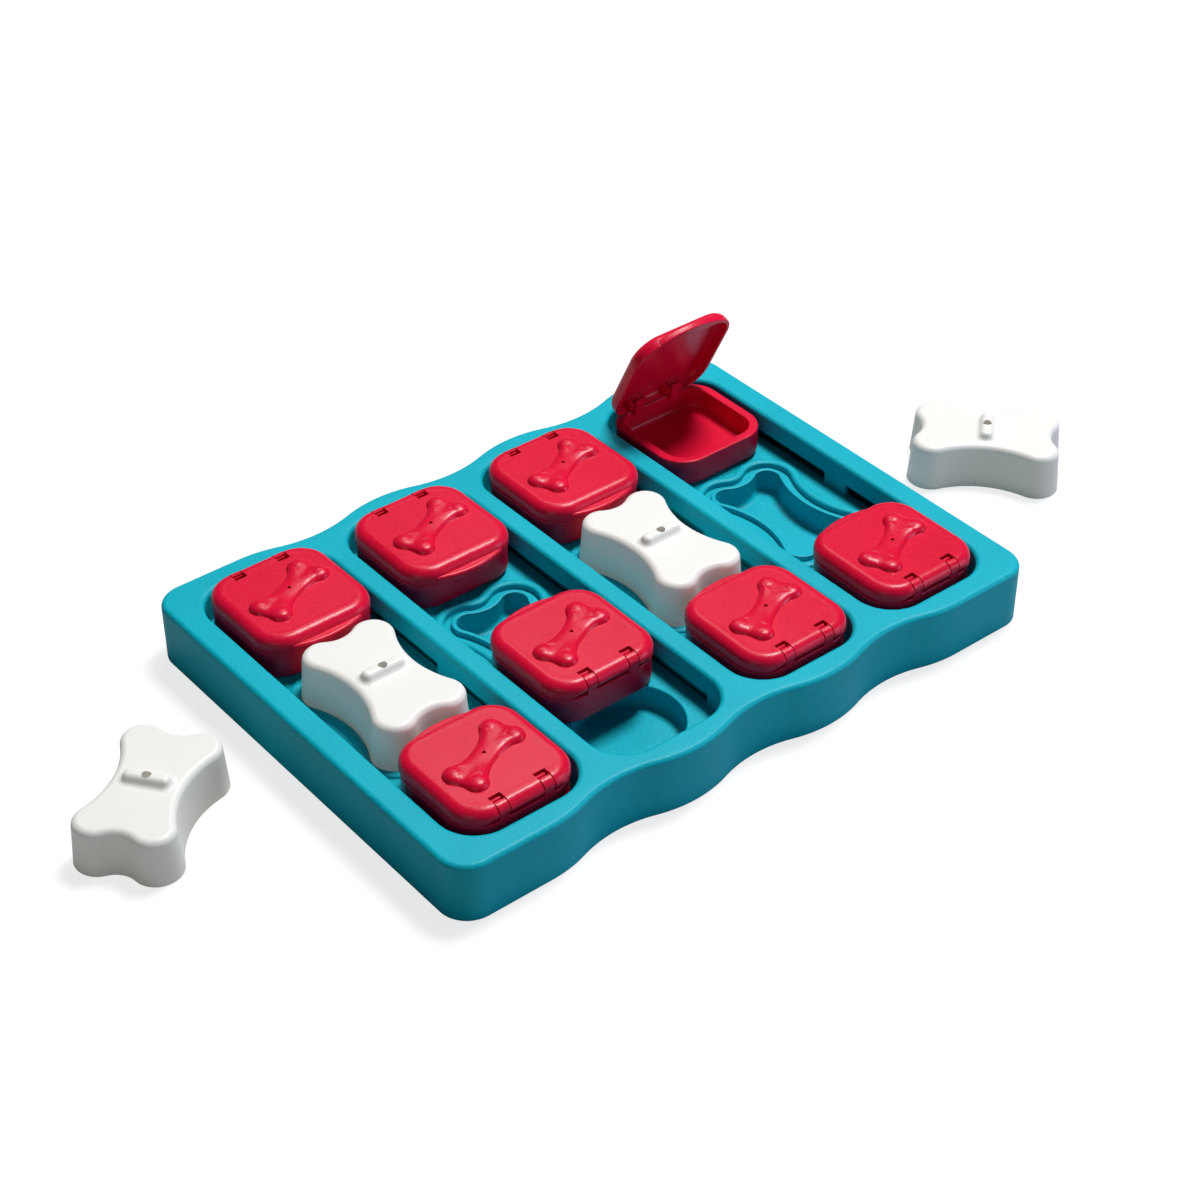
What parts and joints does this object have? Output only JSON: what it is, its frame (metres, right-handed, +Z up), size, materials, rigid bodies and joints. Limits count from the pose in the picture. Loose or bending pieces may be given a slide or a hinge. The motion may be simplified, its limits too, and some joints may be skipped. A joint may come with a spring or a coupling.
{
  "type": "dog puzzle feeder",
  "caption": "Teal sliding dog puzzle feeder with red flip-lid boxes in tracks and white lift-off bone blocks, one box slid, one lid open.",
  "frame": {"origin": "middle of the board's underside, on the plane it rests on", "axes": "+X across the four tracks along the board's scalloped long side, +Y along the tracks, +Z up"},
  "size_m": [0.5334, 0.231, 0.0863],
  "materials": {
    "teal_plastic": "fine-grained satin moulded plastic",
    "red_plastic": "satin-gloss moulded plastic",
    "white_plastic": "satin moulded plastic"
  },
  "bodies": {
    "board": {"board": "teal_plastic", "long_ribs": "teal_plastic", "cross_ribs": "teal_plastic", "track_1": "teal_plastic", "track_2": "teal_plastic", "track_3": "teal_plastic", "track_4": "teal_plastic", "wells_1": "teal_plastic", "wells_2": "teal_plastic", "wells_3": "teal_plastic", "wells_4": "teal_plastic"},
    "box_1_near": {"box_1_near": "red_plastic"},
    "box_1_far": {"box_1_far": "red_plastic"},
    "box_2_near": {"box_2_near": "red_plastic"},
    "box_2_far": {"box_2_far": "red_plastic"},
    "box_3_near": {"box_3_near": "red_plastic"},
    "box_3_far": {"box_3_far": "red_plastic"},
    "box_4_near": {"box_4_near": "red_plastic"},
    "box_4_far": {"box_4_far": "red_plastic"},
    "lid_1_near": {"lid_1_near": "red_plastic"},
    "lid_1_far": {"lid_1_far": "red_plastic"},
    "lid_2_near": {"lid_2_near": "red_plastic"},
    "lid_2_far": {"lid_2_far": "red_plastic"},
    "lid_3_near": {"lid_3_near": "red_plastic"},
    "lid_3_far": {"lid_3_far": "red_plastic"},
    "lid_4_near": {"lid_4_near": "red_plastic"},
    "lid_4_far": {"lid_4_far": "red_plastic"},
    "bone_1": {"bone_1": "white_plastic"},
    "bone_2": {"bone_2": "white_plastic"},
    "bone_3": {"bone_3": "white_plastic"},
    "bone_4": {"bone_4": "white_plastic"}
  },
  "joints": [
    {"name": "slide_1_near", "type": "slide", "parent": "board", "child": "box_1_near", "axis": [0, 1, 0], "range_m": [0, 0.002]},
    {"name": "flip_1_near", "type": "hinge", "parent": "box_1_near", "child": "lid_1_near", "pos_m": [-0.1158, -0.09685, 0.0335], "axis": [1, 0, 0], "range_deg": [0, 110]},
    {"name": "slide_1_far", "type": "slide", "parent": "board", "child": "box_1_far", "axis": [0, 1, 0], "range_m": [-0.002, 0]},
    {"name": "flip_1_far", "type": "hinge", "parent": "box_1_far", "child": "lid_1_far", "pos_m": [-0.1158, 0.09685, 0.0335], "axis": [-1, 0, 0], "range_deg": [0, 110]},
    {"name": "slide_2_near", "type": "slide", "parent": "board", "child": "box_2_near", "axis": [0, 1, 0], "range_m": [-0.0395, 0.012]},
    {"name": "flip_2_near", "type": "hinge", "parent": "box_2_near", "child": "lid_2_near", "pos_m": [-0.0386, -0.05735, 0.0335], "axis": [1, 0, 0], "range_deg": [0, 110]},
    {"name": "slide_2_far", "type": "slide", "parent": "board", "child": "box_2_far", "axis": [0, 1, 0], "range_m": [-0.0355, 0]},
    {"name": "flip_2_far", "type": "hinge", "parent": "box_2_far", "child": "lid_2_far", "pos_m": [-0.0386, 0.09685, 0.0335], "axis": [-1, 0, 0], "range_deg": [0, 110]},
    {"name": "slide_3_near", "type": "slide", "parent": "board", "child": "box_3_near", "axis": [0, 1, 0], "range_m": [0, 0.002]},
    {"name": "flip_3_near", "type": "hinge", "parent": "box_3_near", "child": "lid_3_near", "pos_m": [0.0386, -0.09685, 0.0335], "axis": [1, 0, 0], "range_deg": [0, 110]},
    {"name": "slide_3_far", "type": "slide", "parent": "board", "child": "box_3_far", "axis": [0, 1, 0], "range_m": [-0.002, 0]},
    {"name": "flip_3_far", "type": "hinge", "parent": "box_3_far", "child": "lid_3_far", "pos_m": [0.0386, 0.09685, 0.0335], "axis": [-1, 0, 0], "range_deg": [0, 110]},
    {"name": "slide_4_near", "type": "slide", "parent": "board", "child": "box_4_near", "axis": [0, 1, 0], "range_m": [0, 0.0515]},
    {"name": "flip_4_near", "type": "hinge", "parent": "box_4_near", "child": "lid_4_near", "pos_m": [0.1158, -0.09685, 0.0335], "axis": [1, 0, 0], "range_deg": [0, 110]},
    {"name": "slide_4_far", "type": "slide", "parent": "board", "child": "box_4_far", "axis": [0, 1, 0], "range_m": [-0.0515, 0]},
    {"name": "flip_4_far", "type": "hinge", "parent": "box_4_far", "child": "lid_4_far", "pos_m": [0.1158, 0.09685, 0.0335], "axis": [-1, 0, 0], "range_deg": [-64, 46]},
    {"name": "lift_1", "type": "slide", "parent": "board", "child": "bone_1", "axis": [0, 0, 1], "range_m": [0, 0.06]},
    {"name": "lift_2", "type": "slide", "parent": "board", "child": "bone_2", "axis": [0, 0, 1], "range_m": [0, 0.06]},
    {"name": "lift_3", "type": "slide", "parent": "board", "child": "bone_3", "axis": [0, 0, 1], "range_m": [0, 0.06]},
    {"name": "lift_4", "type": "slide", "parent": "board", "child": "bone_4", "axis": [0, 0, 1], "range_m": [0, 0.06]}
  ]
}
